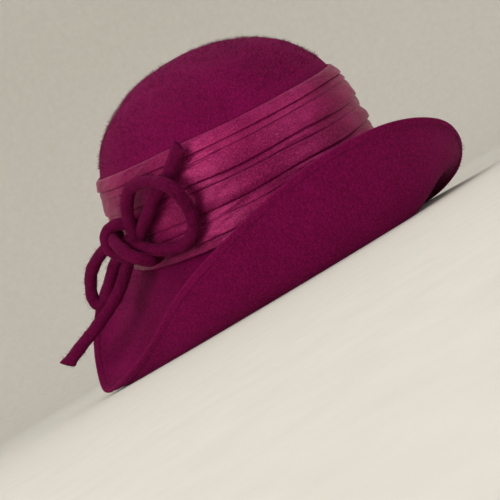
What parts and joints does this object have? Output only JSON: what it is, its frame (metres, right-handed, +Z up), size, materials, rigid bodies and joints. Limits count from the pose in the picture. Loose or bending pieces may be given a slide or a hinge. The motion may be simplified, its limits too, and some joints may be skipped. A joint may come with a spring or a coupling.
{
  "type": "cloche hat",
  "caption": "Felt cloche hat with a turned-up asymmetric brim, a pleated satin band and a bow of rolled felt.",
  "frame": {"origin": "middle of the outline in plan, on the surface that the brim stands on", "axes": "+Z up out of the crown; the wearer faces -Y, so the wearer's right, where the bow is, is -X"},
  "size_m": [0.3043, 0.2944, 0.1835],
  "materials": {
    "felt": "brushed wool felt",
    "satin": "pleated satin with a soft sheen",
    "rolled_felt": "rolled wool felt"
  },
  "bodies": {
    "root": {"crown": "felt", "brim": "felt", "band": "satin", "bow_knot": "rolled_felt", "bow_loop_large": "rolled_felt", "bow_loop_small": "rolled_felt", "bow_tail_upper": "rolled_felt", "bow_tail_lower": "rolled_felt"}
  },
  "joints": []
}
